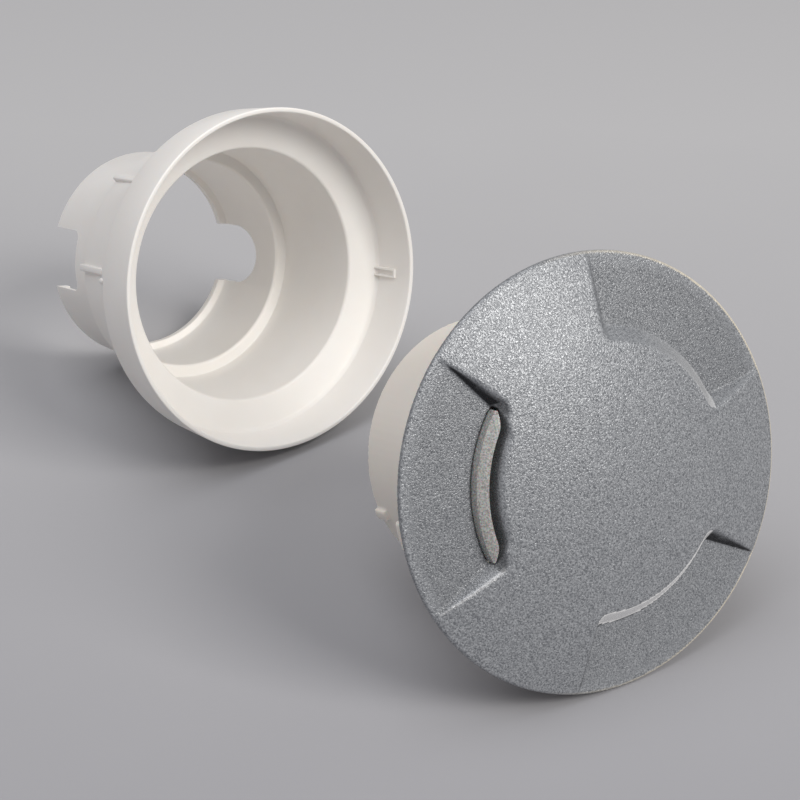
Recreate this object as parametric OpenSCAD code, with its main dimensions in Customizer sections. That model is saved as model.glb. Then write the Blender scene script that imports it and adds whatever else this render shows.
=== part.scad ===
// In-ground spotlight with a side window, lying beside its installation sleeve.
// Sizes are in millimetres. +Z is up, and the photographer stands on the -Y side.
// The light has its own frame: its axis is +Z, pointing out through the cover, and
// Z = 0 is the flat back of the cover's rim. The sleeve's frame is the same, with
// Z = 0 at its mouth. Angles are counted round the axis from +X.

/* [Cover] */
// Diameter of the cast cover
cover_d = 120; // [100:1:150]
// Height of the straight edge of the rim
rim_h = 1.6; // [1:0.1:3]
// Rise of the dome above the rim's front edge
dome_rise = 11.3; // [8:0.1:16]
// Thickness of the domed shell
shell_t = 2.8; // [2:0.1:4]
// Radius of the hollow under the dome
cavity_r = 42.5; // [41:0.5:43]
// Width of the groove for the cover gasket
gasket_w = 2; // [1.5:0.1:2.5]
// Depth of the groove for the cover gasket
gasket_h = 1.2; // [0.8:0.1:1.6]

/* [Recesses] */
// Number of recesses round the dome
recess_count = 3; // [2:1:4]
// Angle of the middle of the first recess
recess_turn = 47.3; // [0:0.1:120]
// Angle between the two foot corners of a recess
recess_span = 60.4; // [40:0.2:66]
// Direction of a recess's side walls, from its middle line
side_turn = 47; // [36:1:52]
// Radius where the recess floor meets the dome
foot_r = 40.2; // [38:0.1:44]
// Height of the recess floor at that radius
foot_h = 3.8; // [3:0.1:5]
// Lean of the closed wall under the dome's edge, from the axis
wall_lean = 36.9; // [20:0.1:45]
// Lean of the recess's side walls, from the axis
side_lean = 36; // [5:1:42]

/* [Window] */
// Angle that the window opening spans
window_span = 62; // [40:1:64]
// Radius of the lens's outer face
lens_r = 40; // [38:0.1:41]
// Thickness of the upright part of the lens
lens_t = 2.7; // [2:0.1:3.5]
// Dark gap between the lens and the dome behind it
lens_gap = 2.3; // [1:0.1:3]
// Height of the lens's upright outer face above the rim's back
lens_ridge_h = 6.3; // [5:0.1:7]
// Height of the top of the lens above the rim's back
lens_top_h = 8; // [7:0.1:8.5]
// Thickness of the lens's flange under the cover
lens_flange_t = 1.6; // [1.2:0.1:2]
// Thickness of the lens gasket
lens_gasket_t = 0.5; // [0.3:0.1:0.8]

/* [Housing] */
// Diameter of the housing
body_d = 76.1; // [70:0.1:76.4]
// Length of the housing behind the rim's back
body_l = 56.9; // [50:0.1:70]
// Thickness of the housing's side wall
body_wall = 2.2; // [1.6:0.1:3]
// Thickness of the housing's rear wall
rear_wall = 3; // [2:0.1:4]
// Diameter of the housing's front flange
flange_d = 108.6; // [106:0.1:110]
// Thickness of the front flange
flange_t = 3.2; // [2.5:0.1:4]
// Depth of the pocket for the light unit
pocket_h = 7.2; // [6.8:0.1:8]
// Thickness of the seal that sits on the sleeve's rim
rim_seal_t = 2; // [1:0.1:3]
// Width of that seal
rim_seal_w = 3; // [2:0.1:3.2]
// Length of the latch arms below the flange
latch_l = 16.3; // [12:0.1:20]
// Width of the latch arms
latch_w = 8; // [5:0.5:12]
// Thickness of the latch arms
latch_t = 1.8; // [1.4:0.1:2.4]
// Angle of the first latch arm
latch_turn = 185.5; // [170:0.5:200]
// Reach of a latch's hook beyond its arm
hook_reach = 0.9; // [0.5:0.1:1.5]
// Angle of the key at the rear of the housing
key_turn = 193.5; // [180:0.5:200]
// Height of the key above the housing's side
key_h = 1.3; // [0.8:0.1:1.4]
// Width of the key
key_w = 3; // [2:0.5:8]
// Length of the key
key_l = 5.6; // [4:0.1:10]

/* [Light unit] */
// Thickness of the aluminium heat spreader
spreader_t = 3; // [2:0.1:3.5]
// Thickness of the thermal pad
pad_t = 0.5; // [0.3:0.1:0.6]
// Thickness of both circuit boards
pcb_t = 1.6; // [1:0.1:1.6]
// Number of LEDs under the window
led_count = 5; // [3:1:7]
// Side of an LED
led_side = 3; // [2:0.1:3.2]
// Height of an LED
led_h = 0.8; // [0.5:0.1:1.2]
// Angle between neighbouring LEDs
led_step = 11; // [8:0.5:12]

/* [Driver] */
// Width of the driver board
driver_w = 56; // [50:1:60]
// Distance of the driver board from the axis
driver_off = 13.2; // [12:0.1:16]
// Height of the driver board above the rear wall
driver_h = 38; // [30:1:40]
// Size of the transformer along the board, out from it and along the axis
transformer = [17, 15, 14];
// Radius of the two capacitors
capacitor_r = 4; // [3:0.5:6]
// Length of the two capacitors
capacitor_l = 14; // [10:1:16]
// Size of the terminal block along the board, out from it and along the axis
terminal = [24, 11, 9];
// Diameter of the wires to the LED board
wire_d = 1.4; // [1:0.1:1.8]

/* [Cable gland] */
// Diameter of the gland's inner thread
gland_d = 15.7; // [12:0.1:20]
// Width across the flats of the gland's hexagons
gland_flats = 20; // [18:0.5:24]
// Length of the gland's hexagon
gland_hex_l = 5; // [3:0.5:8]
// Length of the gland's outer thread
gland_thread_l = 8; // [6:0.5:12]
// Diameter of the cable passage
cable_hole_d = 8; // [5:0.5:10]
// Thickness of the gland's sealing washer
washer_t = 1.2; // [0.8:0.1:2]
// Thickness of the gland's lock nut
locknut_t = 3.5; // [2.5:0.5:5]
// Thickness of the clamping nut's end
nut_end_t = 2.8; // [2:0.1:4]

/* [Sleeve] */
// Outer diameter of the sleeve's mouth
mouth_d = 108.7; // [106:0.1:112]
// Depth of the mouth band, outside
band_l = 17.1; // [14:0.1:22]
// Diameter of the mouth band at its back
band_back_d = 106.2; // [102:0.1:108]
// Wall of the sleeve
sleeve_wall = 1.5; // [1.2:0.1:2.2]
// Depth of the inner ledge, at its edge
ledge_z = 17.7; // [16:0.1:24]
// Bore at that edge
ledge_d = 81.2; // [80:0.1:86]
// Depth where the tube behind the ledge gets thicker, outside
step_z = 38.5; // [30:0.1:44]
// Height of that step
step_h = 0.4; // [0.2:0.1:0.8]
// Depth of the second shoulder
shoulder_z = 51.7; // [46:0.1:60]
// Bore just before the second shoulder
shoulder_d = 77; // [76.5:0.1:80]
// Bore just behind the second shoulder
tail_in_d = 68.8; // [66:0.1:70]
// Length of the sleeve
sleeve_l = 82.6; // [76:0.1:100]
// Outer diameter of the sleeve's rear rim
tail_d = 70.1; // [69:0.1:74]
// Bore of the lip at the rear rim
lip_d = 62.5; // [58:0.1:66]
// Thickness of that lip
lip_t = 2.4; // [1.5:0.1:4]
// Width of the conduit notches
notch_w = 20; // [16:0.5:25]
// Angle of the first conduit notch
notch_turn = -15.5; // [-90:0.5:90]
// Depth of the first conduit notch
notch_l = 19.2; // [14:0.1:22]
// Corner radius of the first conduit notch
notch_corner = 9.8; // [2:0.1:10]
// Depth of the second conduit notch
second_notch_l = 16.4; // [14:0.1:22]
// Corner radius of the second conduit notch
second_notch_corner = 3; // [2:0.1:10]
// Angle between a notch and the next outer rib
rib_step = 45; // [30:1:90]
// Length of the outer ribs
rib_l = 16; // [8:0.5:20]
// Width of the outer ribs
rib_w = 2.2; // [1.5:0.1:4]
// Height of the outer ribs above the tube
rib_h = 0.9; // [0.5:0.1:2]
// Depth of the latch catches below the mouth
catch_z = 6.8; // [4:0.1:10]
// Length of a latch catch
catch_l = 10.5; // [6:0.5:14]
// Width of a latch catch
catch_w = 3; // [2:0.1:5]
// Width of a latch catch's rails
catch_rail = 0.7; // [0.5:0.1:1]
// Height of a latch catch
catch_h = 0.5; // [0.3:0.1:1]

/* [Layout] */
// Direction of the light's axis, round from -Y
light_turn = 31.2; // [0:0.1:60]
// Direction of the sleeve's axis, round from -Y
sleeve_turn = 39.4; // [0:0.1:60]
// Offset of the light from the sleeve, rim centre to mouth centre
light_offset = [90, -109.1];
// Place of the sleeve's mouth centre
sleeve_at = [-32.9, 30.8];

/* [Fits] */
// Gap round the lens, the boards and the screws
clear = 0.2; // [0.1:0.05:0.3]
// Gap round pieces that turn or slide
run = 0.25; // [0.2:0.05:0.4]

/* [Screws] */
// Diameter of the cover screws
screw_d = 3; // [2.5:0.1:3.5]
// Depth of the cover screws in the cover
screw_grip = 4; // [3:0.1:4.2]
// Diameter of the small screws on the heat spreader
small_screw_d = 2; // [1.6:0.1:2.5]

/* [Hidden] */
$fn = 144;
eps = 0.01;
far = 200;

// Cover
cover_r = cover_d / 2;
dome_r = (cover_r * cover_r + dome_rise * dome_rise) / (2 * dome_rise);
dome_z = rim_h + dome_rise - dome_r;
function dome_at(r) = dome_z + sqrt(dome_r * dome_r - r * r);
floor_slope = (foot_h - rim_h) / (cover_r - foot_r);
arm_step = 360 / recess_count;
// The space cut for a recess reaches past the rim and well above the dome
recess_out_r = cover_r + 5;
recess_rise = 20;
gasket_in = cavity_r + 1.1;

// Window
window_at = recess_turn + arm_step;
window_in = lens_r - lens_t - lens_gap;
window_out = lens_r + clear;
lens_span = window_span - 2;
seat_z = lens_flange_t + lens_gasket_t;
lens_flange_in = window_in - 1.2;
lens_flange_out = cavity_r + 0.3;
lens_flange_span = window_span + 9;
// Angle that the metal behind a recess goes past its corner
backing_a = 8;

// Housing
body_r = body_d / 2;
bore_r = body_r - body_wall;
pocket_r = cavity_r - 0.3;
bell_r = pocket_r + body_wall;
bell_z = pocket_h + 2;
bell_end_z = bell_z + 3;
flange_r = flange_d / 2;
rear_z = -body_l + rear_wall;
latch_r = flange_r - rim_seal_w - 0.5 - latch_t;
screw_r = (gasket_in + gasket_w + flange_r - rim_seal_w) / 2;
head_d = 2 * screw_d - 0.5;
head_h = 2;

// Light unit, from the pocket's floor up
spreader_z = -pocket_h;
pad_z = spreader_z + spreader_t;
board_z = pad_z + pad_t;
board_top = board_z + pcb_t;
led_r = lens_r - lens_t / 2;
board_in = led_r - 5.2;
board_out = pocket_r - clear;
led_pocket_r = led_side / 2 + 0.3;
led_pocket_span = (led_count - 1) * led_step + 2 * asin(led_pocket_r / led_r) + 1;
small_head_d = 2 * small_screw_d;
board_screw_r = board_in + small_head_d / 2 + 0.6;
board_screw_a = led_pocket_span / 2 + asin((small_head_d / 2 + 0.8) / board_screw_r);
board_span = 2 * (board_screw_a + asin((small_head_d / 2 + 0.8) / board_screw_r));
small_r = (bore_r + pocket_r) / 2;

// Wires, from the window's middle: along the board and out from it
wire_u = board_in - wire_d - 2.4;
wire_v = driver_off - wire_d - 0.3;
wire_end_u = sqrt(pow(led_r - led_pocket_r - 0.3, 2) - wire_v * wire_v);
wire_top = board_top + wire_d / 2;

// Driver
driver_top = rear_z + driver_h;
terminal_z = rear_z + locknut_t + 4;

// Gland
washer_z = -body_l - washer_t;
hex_z = washer_z - gland_hex_l;
thread_end = hex_z - gland_thread_l;
outer_thread_r = gland_d / 2 - 0.3;
gland_bore_r = cable_hole_d / 2 + 0.2;
seal_r = outer_thread_r - 1.4;
seal_l = 6.3;
seal_end = thread_end - 0.3;
nut_floor = seal_end - run;
nut_end = nut_floor - nut_end_t;

// Sleeve
mouth_r = mouth_d / 2;
band_back_r = band_back_d / 2;
ledge_r = ledge_d / 2;
shoulder_r = shoulder_d / 2;
tail_in_r = tail_in_d / 2;
tail_r = tail_d / 2;
lip_r = lip_d / 2;
tail_bore_r = tail_r - sleeve_wall;
band_taper = (mouth_r - band_back_r) / band_l;
// Height of the fillet at the root of the mouth band, inside
band_root = 4.4;
tube_taper = (ledge_r - shoulder_r) / (shoulder_z - ledge_z);
function tube_at(z) = ledge_r - (z - ledge_z) * tube_taper;
keyway_r = body_r + key_h + run;
keyway_turn = notch_turn + 180 + key_turn - latch_turn;

// Both pieces lie on the floor, each on two of its edges
sleeve_tilt = atan((band_back_r - tail_r) / (sleeve_l - band_l));
sleeve_z = band_back_r * cos(sleeve_tilt) + band_l * sin(sleeve_tilt);
light_tilt = atan((cover_r - body_r) / body_l);
light_z = cover_r * cos(light_tilt);

module place_sleeve() {
    translate([sleeve_at[0], sleeve_at[1], sleeve_z])
        rotate([90 - sleeve_tilt, 0, sleeve_turn])
            children();
}

module place_light() {
    translate([sleeve_at[0] + light_offset[0], sleeve_at[1] + light_offset[1], light_z])
        rotate([90 - light_tilt, 0, light_turn])
            children();
}

// A ring between two radii and two heights
module ring(r_in, r_out, z_low, z_high) {
    translate([0, 0, z_low])
        difference() {
            cylinder(r = r_out, h = z_high - z_low);
            translate([0, 0, -1])
                cylinder(r = r_in, h = z_high - z_low + 2);
        }
}

// A stretch of a ring, centred on an angle
module arc_ring(r_in, r_out, z_low, z_high, middle, span) {
    rotate([0, 0, middle - span / 2])
        rotate_extrude(angle = span)
            translate([r_in, z_low])
                square([r_out - r_in, z_high - z_low]);
}

// Copies at equal steps, the first at an angle
module around(count, first) {
    for (i = [0 : count - 1])
        rotate([0, 0, first + i * 360 / count])
            children();
}

// Everything on the recess's side of one side wall, whose foot starts at the recess's corner
module inside_side_wall() {
    rotate([0, 0, recess_span / 2])
        translate([foot_r, 0, foot_h])
            rotate([-side_lean, 0, side_turn - recess_span / 2])
                translate([-far / 2, -far, -far / 2])
                    cube([far, far, far]);
}

// Everything clockwise of a half-plane at an angle
module clockwise_of(a) {
    rotate([0, 0, a])
        translate([-far / 2, -far, -far / 2])
            cube([far, far, far]);
}

// The space of one recess, its middle on +X
module recess_space() {
    intersection() {
        rotate_extrude()
            polygon([
                [foot_r, foot_h],
                [recess_out_r, foot_h - (recess_out_r - foot_r) * floor_slope],
                [recess_out_r, foot_h + recess_rise],
                [foot_r - recess_rise * tan(wall_lean), foot_h + recess_rise]
            ]);
        inside_side_wall();
        mirror([0, 1, 0])
            inside_side_wall();
        translate([0, -far / 2, -far / 2])
            cube([far, far, far]);
    }
}

module dome(r) {
    intersection() {
        translate([0, 0, dome_z])
            sphere(r = r, $fn = 180);
        cylinder(r = cover_r, h = far);
    }
}

module cover() {
    color([0.56, 0.57, 0.59])
        place_light()
            difference() {
                dome(dome_r);
                around(recess_count, recess_turn)
                    recess_space();
                difference() {
                    intersection() {
                        dome(dome_r - shell_t);
                        translate([0, 0, -1])
                            cylinder(r = cavity_r, h = far);
                    }
                    around(recess_count, recess_turn)
                        recess_backing();
                    arc_ring(window_in - 3, cavity_r + 1, seat_z, far, window_at,
                        lens_flange_span + 6);
                }
                cavity_mouth();
                arc_ring(window_in, window_out, -1, far, window_at, window_span);
                arc_ring(lens_flange_in - clear, lens_flange_out + clear, -1, seat_z,
                    window_at, lens_flange_span + 1);
                ring(gasket_in, gasket_in + gasket_w, -1, gasket_h);
                around(recess_count, recess_turn + arm_step / 2)
                    translate([screw_r, 0, -1])
                        cylinder(d = screw_d, h = screw_grip + 1.2, $fn = 48);
            }
}

// Metal that stays behind a recess's sloped wall and floor
module recess_backing() {
    intersection() {
        rotate_extrude()
            polygon([
                [foot_r - shell_t, foot_h - shell_t],
                [cavity_r + 1, foot_h - shell_t],
                [cavity_r + 1, foot_h + recess_rise],
                [foot_r - shell_t - recess_rise * tan(wall_lean), foot_h + recess_rise]
            ]);
        translate([0, -far / 2, -far / 2])
            cube([far, far, far]);
        clockwise_of(recess_span / 2 + backing_a);
        mirror([0, 1, 0])
            clockwise_of(recess_span / 2 + backing_a);
    }
}

// The bottom of the hollow under the dome, below the backing
module cavity_mouth() {
    translate([0, 0, -1])
        cylinder(r = cavity_r, h = foot_h - shell_t + 1);
}

module window_lens() {
    color([0.83, 0.83, 0.8])
        place_light()
            union() {
                arc_ring(lens_flange_in, lens_flange_out, 0, lens_flange_t, window_at,
                    lens_flange_span);
                rotate([0, 0, window_at - lens_span / 2])
                    rotate_extrude(angle = lens_span)
                        polygon([
                            [lens_r - lens_t, lens_flange_t - eps],
                            [lens_r, lens_flange_t - eps],
                            [lens_r, lens_ridge_h],
                            [lens_r - lens_t, lens_top_h]
                        ]);
            }
}

module lens_gasket() {
    color([0.9, 0.9, 0.88])
        place_light()
            difference() {
                arc_ring(lens_flange_in, lens_flange_out, lens_flange_t, seat_z,
                    window_at, lens_flange_span);
                arc_ring(window_in, window_out, 0, seat_z + 1, window_at, window_span);
            }
}

module cover_gasket() {
    color([0.9, 0.89, 0.84])
        place_light()
            ring(gasket_in, gasket_in + gasket_w, 0, gasket_h);
}

module latch_arm() {
    hook_z = -flange_t - latch_l;
    intersection() {
        rotate_extrude()
            polygon([
                [latch_r, -flange_t + eps],
                [latch_r, hook_z],
                [latch_r + latch_t, hook_z],
                [latch_r + latch_t + hook_reach, hook_z + 1],
                [latch_r + latch_t + hook_reach, hook_z + 2.2],
                [latch_r + latch_t, hook_z + 2.8],
                [latch_r + latch_t, -flange_t + eps]
            ]);
        translate([0, -latch_w / 2, hook_z - 1])
            cube([far, latch_w, latch_l + 2]);
    }
}

// One rail with the slot for an edge of the driver board
module board_rail() {
    intersection() {
        translate([0, 0, rear_z - eps])
            cylinder(r = bore_r + eps, h = driver_h - 4);
        difference() {
            translate([driver_w / 2 - 3, driver_off - 2, rear_z - 1])
                cube([far, pcb_t + 4, driver_h]);
            translate([0, driver_off - clear / 2, rear_z])
                cube([driver_w / 2 + clear, pcb_t + clear, far]);
        }
    }
}

module housing() {
    color([0.93, 0.92, 0.88])
        place_light()
            difference() {
                union() {
                    rotate_extrude()
                        polygon([
                            [bore_r, rear_z], [0, rear_z], [0, -body_l],
                            [body_r, -body_l], [body_r, -bell_end_z], [bell_r, -bell_z],
                            [bell_r, -flange_t], [flange_r, -flange_t], [flange_r, 0],
                            [pocket_r, 0], [pocket_r, -pocket_h], [bore_r, -pocket_h]
                        ]);
                    around(2, latch_turn)
                        latch_arm();
                    rotate([0, 0, key_turn])
                        translate([body_r - 1, -key_w / 2, -body_l])
                            cube([key_h + 1, key_w, key_l]);
                    rotate([0, 0, window_at])
                        board_rail();
                    rotate([0, 0, window_at])
                        mirror([1, 0, 0])
                            board_rail();
                }
                translate([0, 0, -body_l - 1])
                    cylinder(d = gland_d + 2 * clear, h = rear_wall + 2);
                around(recess_count, recess_turn + arm_step / 2)
                    translate([screw_r, 0, -flange_t - 1])
                        cylinder(d = screw_d + 2 * clear, h = flange_t + 2, $fn = 48);
                around(3, window_at + 60)
                    translate([small_r, 0, -pocket_h - 3])
                        cylinder(d = small_screw_d, h = 4, $fn = 36);
            }
}

module rim_seal() {
    color([0.25, 0.25, 0.26])
        place_light()
            ring(flange_r - rim_seal_w, flange_r, -flange_t - rim_seal_t, -flange_t);
}

// A screw along +Z, its head below, with a cross slot
module screw(d, grip, head, head_t) {
    difference() {
        union() {
            cylinder(d = d, h = grip, $fn = 36);
            translate([0, 0, -head_t])
                cylinder(d = head, h = head_t, $fn = 48);
        }
        for (a = [0, 90])
            rotate([0, 0, a])
                translate([-head * 0.32, -head * 0.07, -head_t - 1])
                    cube([head * 0.64, head * 0.14, 1 + head_t * 0.5]);
    }
}

module cover_screws() {
    color([0.72, 0.72, 0.73])
        place_light()
            around(recess_count, recess_turn + arm_step / 2)
                translate([screw_r, 0, -flange_t])
                    screw(screw_d, flange_t + screw_grip, head_d, head_h);
}

module heat_spreader() {
    color([0.76, 0.77, 0.78])
        place_light()
            difference() {
                translate([0, 0, spreader_z])
                    cylinder(r = pocket_r - clear, h = spreader_t);
                around(3, window_at + 60)
                    translate([small_r, 0, spreader_z - 1])
                        cylinder(d = small_screw_d + 2 * clear, h = spreader_t + 2, $fn = 36);
                rotate([0, 0, window_at]) {
                    translate([wire_u, wire_v, spreader_z - 1])
                        cylinder(r = wire_d + 1, h = spreader_t + 2, $fn = 48);
                    for (s = [-1, 1])
                        rotate([0, 0, s * board_screw_a])
                            translate([board_screw_r, 0, spreader_z - 1])
                                cylinder(d = small_screw_d, h = spreader_t + 2, $fn = 36);
                }
            }
}

module spreader_screws() {
    color([0.7, 0.7, 0.71])
        place_light()
            around(3, window_at + 60)
                translate([small_r, 0, pad_z])
                    mirror([0, 0, 1])
                        screw(small_screw_d, spreader_t + 2.6, small_head_d, 1.3);
}

module thermal_pad() {
    color([0.62, 0.66, 0.7])
        place_light()
            difference() {
                arc_ring(board_in, board_out, pad_z, board_z, window_at, board_span);
                board_screw_holes();
            }
}

module board_screw_holes() {
    rotate([0, 0, window_at])
        for (s = [-1, 1])
            rotate([0, 0, s * board_screw_a])
                translate([board_screw_r, 0, spreader_z])
                    cylinder(d = small_screw_d + 2 * clear, h = pocket_h, $fn = 36);
}

module led_board() {
    color([0.9, 0.91, 0.9])
        place_light()
            difference() {
                arc_ring(board_in, board_out, board_z, board_top, window_at, board_span);
                board_screw_holes();
            }
}

module board_screws() {
    color([0.7, 0.7, 0.71])
        place_light()
            rotate([0, 0, window_at])
                for (s = [-1, 1])
                    rotate([0, 0, s * board_screw_a])
                        translate([board_screw_r, 0, board_top])
                            mirror([0, 0, 1])
                                screw(small_screw_d, spreader_t + pad_t + pcb_t - 0.3,
                                    small_head_d, 1.1);
}

module leds() {
    color([0.95, 0.88, 0.5])
        place_light()
            rotate([0, 0, window_at])
                for (i = [0 : led_count - 1])
                    rotate([0, 0, (i - (led_count - 1) / 2) * led_step])
                        translate([led_r - led_side / 2, -led_side / 2, board_top])
                            cube([led_side, led_side, led_h]);
}

module led_reflector() {
    color([0.96, 0.96, 0.95])
        place_light()
            difference() {
                arc_ring(board_in + 0.5, board_out, board_top, 0, window_at, board_span - 1);
                arc_ring(led_r - led_pocket_r, led_r + led_pocket_r, board_top - 1, 1,
                    window_at, led_pocket_span);
                rotate([0, 0, window_at]) {
                    for (s = [-1, 1])
                        rotate([0, 0, s * board_screw_a])
                            translate([board_screw_r, 0, board_top - 1])
                                cylinder(r = small_head_d / 2 + clear, h = pocket_h, $fn = 36);
                    translate([0, wire_v - 1.5 * wire_d, board_top - 1])
                        cube([wire_end_u + clear, 3 * wire_d, wire_d + 1 + clear]);
                }
            }
}

// Two wires, each up from the driver board, through the spreader and out to the LED board
module led_wires() {
    low = driver_top - 3;
    color([0.75, 0.2, 0.16])
        place_light()
            rotate([0, 0, window_at])
                for (s = [-1, 1])
                    translate([wire_u, wire_v + s * wire_d * 0.6, 0]) {
                        translate([0, 0, low])
                            cylinder(d = wire_d, h = wire_top - low, $fn = 36);
                        translate([0, 0, wire_top])
                            sphere(d = wire_d, $fn = 36);
                        translate([0, 0, wire_top])
                            rotate([0, 90, 0])
                                cylinder(d = wire_d, h = wire_end_u - wire_u - 1, $fn = 36);
                    }
}

module place_driver() {
    place_light()
        rotate([0, 0, window_at])
            children();
}

module driver_board() {
    color([0.16, 0.38, 0.22])
        place_driver()
            translate([-driver_w / 2, driver_off, rear_z])
                cube([driver_w, pcb_t, driver_h]);
}

module driver_transformer() {
    size = transformer;
    color([0.82, 0.72, 0.24])
        place_driver()
            translate([-driver_w / 2 + 6, driver_off, driver_top - size[2] - 4])
                union() {
                    translate([0, -3, 0])
                        cube([size[0], 3, size[2]]);
                    translate([2, -size[1] + 3, 2])
                        cube([size[0] - 4, size[1] - 6 + eps, size[2] - 4]);
                    translate([0, -size[1], 0])
                        cube([size[0], 3 + eps, size[2]]);
                }
}

module driver_capacitors() {
    color([0.2, 0.22, 0.3])
        place_driver()
            for (i = [0, 1])
                translate([2 + i * (2 * capacitor_r + 1.5), driver_off - capacitor_r,
                    driver_top - capacitor_l - 4])
                    cylinder(r = capacitor_r, h = capacitor_l, $fn = 60);
}

module terminal_block() {
    size = terminal;
    color([0.2, 0.5, 0.3])
        place_driver()
            translate([-size[0] / 2, driver_off - size[1], terminal_z])
                difference() {
                    cube(size);
                    for (i = [0 : 2])
                        translate([size[0] * (2 * i + 1) / 6, -1, size[2] * 0.65])
                            rotate([-90, 0, 0])
                                cylinder(d = 3.6, h = 5, $fn = 48);
                    for (i = [0 : 2])
                        translate([size[0] * (2 * i + 1) / 6 - 1.7, size[1] * 0.45, -1])
                            cube([3.4, 3.4, 6]);
                }
}

module terminal_screws() {
    size = terminal;
    color([0.8, 0.78, 0.66])
        place_driver()
            for (i = [0 : 2])
                translate([size[0] * (2 * i - 2) / 6, driver_off - size[1] + 1,
                    terminal_z + size[2] * 0.65])
                    rotate([-90, 0, 0])
                        difference() {
                            cylinder(d = 3.2, h = 3, $fn = 48);
                            translate([-1.2, -0.25, -1])
                                cube([2.4, 0.5, 1.6]);
                        }
}

module hexagon(flats, h) {
    cylinder(d = flats / cos(30), h = h, $fn = 6);
}

module gland_body() {
    color([0.2, 0.2, 0.21])
        place_light()
            difference() {
                union() {
                    translate([0, 0, washer_z])
                        cylinder(d = gland_d, h = washer_t + rear_wall + locknut_t + 1);
                    translate([0, 0, hex_z])
                        hexagon(gland_flats, gland_hex_l);
                    translate([0, 0, thread_end])
                        cylinder(r = outer_thread_r, h = gland_thread_l + 1);
                }
                translate([0, 0, thread_end - 1])
                    cylinder(r = gland_bore_r, h = far);
                translate([0, 0, thread_end - 1])
                    cylinder(r = seal_r + run, h = seal_l + 1);
            }
}

module gland_washer() {
    color([0.3, 0.3, 0.3])
        place_light()
            ring(gland_d / 2 + clear, gland_flats / 2, washer_z, -body_l);
}

module gland_locknut() {
    color([0.24, 0.24, 0.25])
        place_light()
            translate([0, 0, rear_z])
                difference() {
                    hexagon(gland_flats, locknut_t);
                    translate([0, 0, -1])
                        cylinder(r = gland_d / 2 + 0.05, h = locknut_t + 2);
                }
}

module gland_seal() {
    color([0.35, 0.35, 0.36])
        place_light()
            ring(cable_hole_d / 2, seal_r, seal_end, seal_end + seal_l - 0.4);
}

module gland_nut() {
    skirt = gland_flats / 2;
    color([0.2, 0.2, 0.21])
        place_light()
            difference() {
                intersection() {
                    translate([0, 0, nut_end])
                        hexagon(gland_flats, hex_z - run - nut_end);
                    rotate_extrude()
                        polygon([
                            [0, nut_end], [cable_hole_d / 2 + 2.4, nut_end],
                            [skirt * 1.17, nut_end + 5], [skirt * 1.17, hex_z - run], [0, hex_z - run]
                        ]);
                }
                translate([0, 0, nut_floor])
                    cylinder(r = outer_thread_r + run, h = far);
                translate([0, 0, nut_end - 1])
                    cylinder(d = cable_hole_d, h = far);
            }
}

// The sleeve's wall as an outline round its axis
module sleeve_wall_outline() {
    polygon([
        [mouth_r, 0],
        [band_back_r, -band_l],
        [band_back_r - 1.2, -band_l - 0.9],
        [tube_at(ledge_z) + sleeve_wall + step_h, -ledge_z - sleeve_wall],
        [tube_at(step_z) + sleeve_wall + step_h, -step_z],
        [tube_at(step_z) + sleeve_wall, -step_z - step_h],
        [shoulder_r + sleeve_wall, -shoulder_z - 0.4],
        [tail_in_r + sleeve_wall, -shoulder_z - sleeve_wall - 0.8],
        [tail_r, -sleeve_l],
        [lip_r, -sleeve_l],
        [lip_r, -sleeve_l + lip_t],
        [tail_bore_r, -sleeve_l + lip_t + 0.6],
        [tail_in_r, -shoulder_z - 0.6],
        [tail_in_r + 0.6, -shoulder_z],
        [shoulder_r, -shoulder_z],
        [ledge_r, -ledge_z],
        [ledge_r + 0.8, -ledge_z + 0.6],
        [band_back_r - sleeve_wall - 3, -band_l + 1.6],
        [band_back_r - sleeve_wall - 0.2, -band_l + band_root],
        [mouth_r - sleeve_wall, 0]
    ]);
}

// One catch in the mouth, on +X: a low raised frame, open towards the ledge
module latch_catch() {
    wall_r = mouth_r - sleeve_wall;
    top = -catch_z;
    end = -catch_z - catch_l;
    intersection() {
        rotate_extrude()
            polygon([
                [wall_r - catch_h + top * band_taper, top],
                [wall_r - catch_h + end * band_taper, end],
                [wall_r + sleeve_wall / 2 + end * band_taper, end],
                [wall_r + sleeve_wall / 2 + top * band_taper, top]
            ]);
        difference() {
            translate([0, -catch_w / 2, end - 1])
                cube([far, catch_w, catch_l + 2]);
            translate([0, catch_rail - catch_w / 2, end - 2])
                cube([far, catch_w - 2 * catch_rail, catch_l + 2 - catch_rail]);
        }
    }
}

// One outer rib, on +X, from the thick part of the tube to just behind the shoulder
module outer_rib() {
    translate([shoulder_r + sleeve_wall / 2, -rib_w / 2, -step_z - rib_l])
        cube([sleeve_wall / 2 + rib_h, rib_w, rib_l + step_h / 2]);
}

// A notch on +X, open to the rear, with rounded corners at its front
module conduit_notch(depth, corner) {
    side = notch_w / 2 - corner;
    front = -sleeve_l + depth;
    for (y = [-side, side])
        translate([0, y, front - corner])
            rotate([0, 90, 0])
                cylinder(r = corner, h = far);
    translate([0, -side, front - corner])
        cube([far, 2 * side, corner]);
    translate([0, -notch_w / 2, front - corner - far])
        cube([far, notch_w, far]);
}

// The groove for the housing's key, on +X
module keyway() {
    width = key_w + 2 * run;
    translate([0, -width / 2, -shoulder_z + 0.3])
        cube([keyway_r, width, shoulder_z - ledge_z]);
}

module installation_sleeve() {
    color([0.95, 0.94, 0.91])
        place_sleeve()
            difference() {
                union() {
                    rotate_extrude()
                        sleeve_wall_outline();
                    around(2, notch_turn)
                        latch_catch();
                    around(2, notch_turn)
                        outer_rib();
                    around(2, notch_turn - rib_step)
                        outer_rib();
                }
                rotate([0, 0, notch_turn])
                    conduit_notch(notch_l, notch_corner);
                rotate([0, 0, notch_turn + 180])
                    conduit_notch(second_notch_l, second_notch_corner);
                rotate([0, 0, keyway_turn])
                    keyway();
            }
}

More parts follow.
